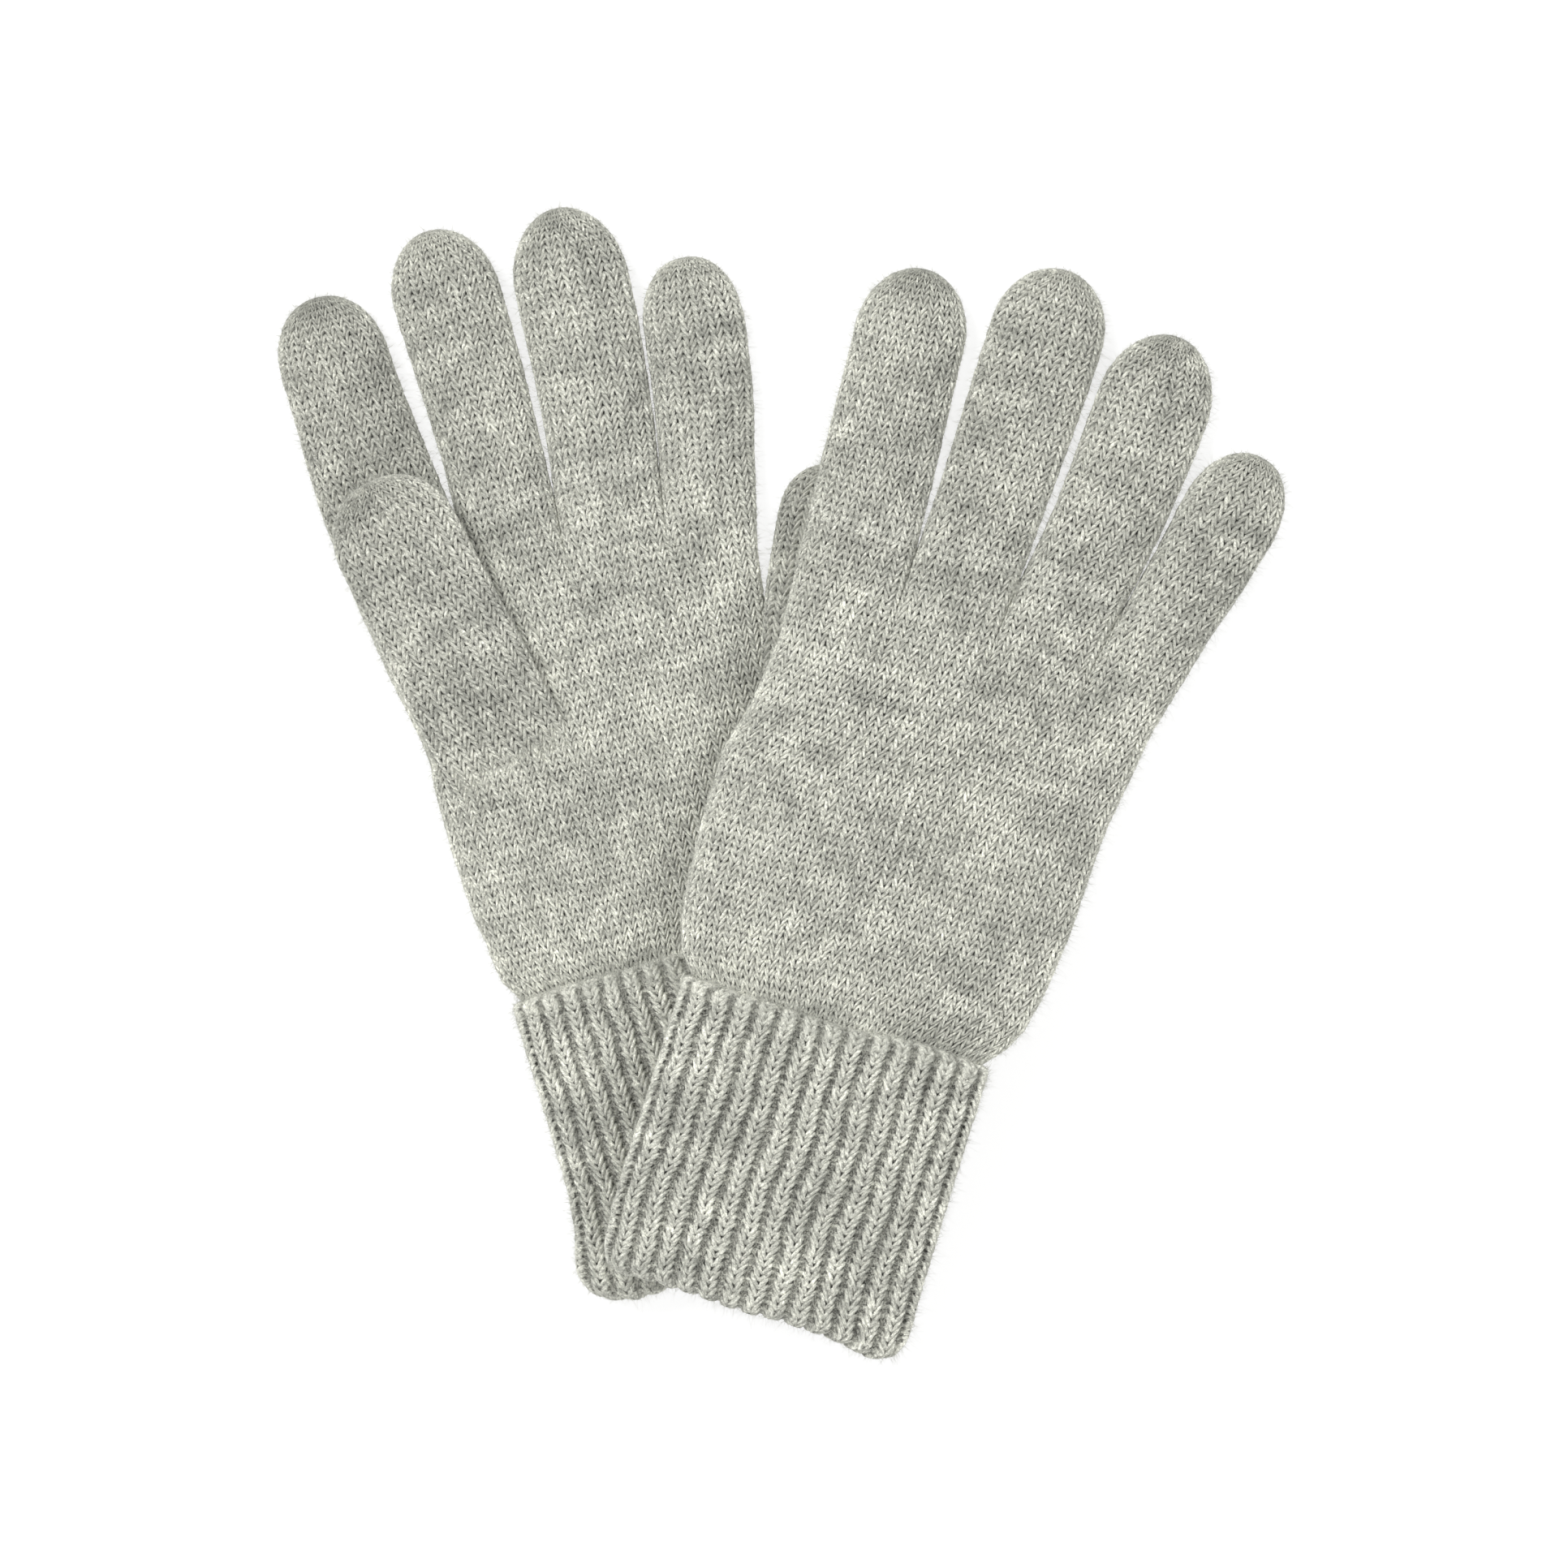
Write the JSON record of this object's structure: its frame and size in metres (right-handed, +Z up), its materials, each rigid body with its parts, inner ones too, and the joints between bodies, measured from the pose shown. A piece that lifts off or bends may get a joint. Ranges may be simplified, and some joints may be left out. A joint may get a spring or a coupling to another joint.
{
  "type": "knitted gloves",
  "caption": "Pair of plain heather knitted gloves with full fingers and deep turned-back ribbed cuffs, laid crossed at the wrists, one palm up and one back up.",
  "frame": {"origin": "middle of the bounding box in plan, on the surface the gloves lie on", "axes": "+Y towards the fingertips, +X towards the right-hand glove, +Z up out of the surface"},
  "size_m": [0.2335, 0.2643, 0.0276],
  "materials": {
    "plain_knit": "soft heather wool, plain knit",
    "rib_knit": "soft heather wool, single rib",
    "bound_edge": "soft heather wool, loose bound-off edge"
  },
  "bodies": {
    "left_hand": {"left_hand": "plain_knit", "left_wrist_rib": "rib_knit", "left_wrist_seam": "plain_knit"},
    "left_index_finger": {"left_index_finger": "plain_knit"},
    "left_middle_finger": {"left_middle_finger": "plain_knit"},
    "left_ring_finger": {"left_ring_finger": "plain_knit"},
    "left_little_finger": {"left_little_finger": "plain_knit"},
    "left_thumb": {"left_thumb": "plain_knit"},
    "left_cuff": {"left_turned_cuff": "rib_knit", "left_cuff_edge": "bound_edge"},
    "right_hand": {"right_hand": "plain_knit", "right_wrist_rib": "rib_knit", "right_wrist_seam": "plain_knit"},
    "right_index_finger": {"right_index_finger": "plain_knit"},
    "right_middle_finger": {"right_middle_finger": "plain_knit"},
    "right_ring_finger": {"right_ring_finger": "plain_knit"},
    "right_little_finger": {"right_little_finger": "plain_knit"},
    "right_thumb": {"right_thumb": "plain_knit"},
    "right_cuff": {"right_turned_cuff": "rib_knit", "right_cuff_edge": "bound_edge"}
  },
  "joints": [
    {"name": "right_glove_lift", "type": "slide", "parent": "left_hand", "child": "right_hand", "axis": [0, 0, 1], "range_m": [0, 0.06]},
    {"name": "left_index_finger_spread", "type": "hinge", "parent": "left_hand", "child": "left_index_finger", "pos_m": [-0.10197, 0.05147, 0.0039], "axis": [0, 0, 1], "range_deg": [0, 12]},
    {"name": "left_middle_finger_fold", "type": "hinge", "parent": "left_hand", "child": "left_middle_finger", "pos_m": [-0.06283, 0.06299, 0.00785], "axis": [0.9593, 0.2823, 0], "range_deg": [0, 80]},
    {"name": "left_ring_finger_fold", "type": "hinge", "parent": "left_hand", "child": "left_ring_finger", "pos_m": [-0.0399, 0.06974, 0.00785], "axis": [0.9593, 0.2823, 0], "range_deg": [0, 80]},
    {"name": "left_little_finger_fold", "type": "hinge", "parent": "left_hand", "child": "left_little_finger", "pos_m": [-0.01784, 0.07624, 0.00785], "axis": [0.9593, 0.2823, 0], "range_deg": [0, 80]},
    {"name": "left_thumb_lift", "type": "hinge", "parent": "left_hand", "child": "left_thumb", "pos_m": [-0.06751, 0.01195, 0.0111], "axis": [0.9593, 0.2823, 0], "range_deg": [0, 90]},
    {"name": "left_cuff_unroll", "type": "slide", "parent": "left_hand", "child": "left_cuff", "axis": [0.2823, -0.9593, 0], "range_m": [0, 0.062]},
    {"name": "right_index_finger_fold", "type": "hinge", "parent": "right_hand", "child": "right_index_finger", "pos_m": [0.01759, 0.05825, 0.01445], "axis": [0.9563, -0.2924, 0], "range_deg": [0, 80]},
    {"name": "right_middle_finger_fold", "type": "hinge", "parent": "right_hand", "child": "right_middle_finger", "pos_m": [0.04294, 0.0505, 0.0144], "axis": [0.9563, -0.2924, 0], "range_deg": [0, 80]},
    {"name": "right_ring_finger_fold", "type": "hinge", "parent": "right_hand", "child": "right_ring_finger", "pos_m": [0.06579, 0.04351, 0.01177], "axis": [0.9563, -0.2924, 0], "range_deg": [0, 80]},
    {"name": "right_little_finger_fold", "type": "hinge", "parent": "right_hand", "child": "right_little_finger", "pos_m": [0.08779, 0.03679, 0.0084], "axis": [0.9563, -0.2924, 0], "range_deg": [0, 80]},
    {"name": "right_thumb_drop", "type": "hinge", "parent": "right_hand", "child": "right_thumb", "pos_m": [0.0129, 0.01143, 0.00176], "axis": [-0.9563, 0.2924, 0], "range_deg": [0, 45]},
    {"name": "right_cuff_unroll", "type": "slide", "parent": "right_hand", "child": "right_cuff", "axis": [-0.2924, -0.9563, 0], "range_m": [0, 0.062]}
  ]
}
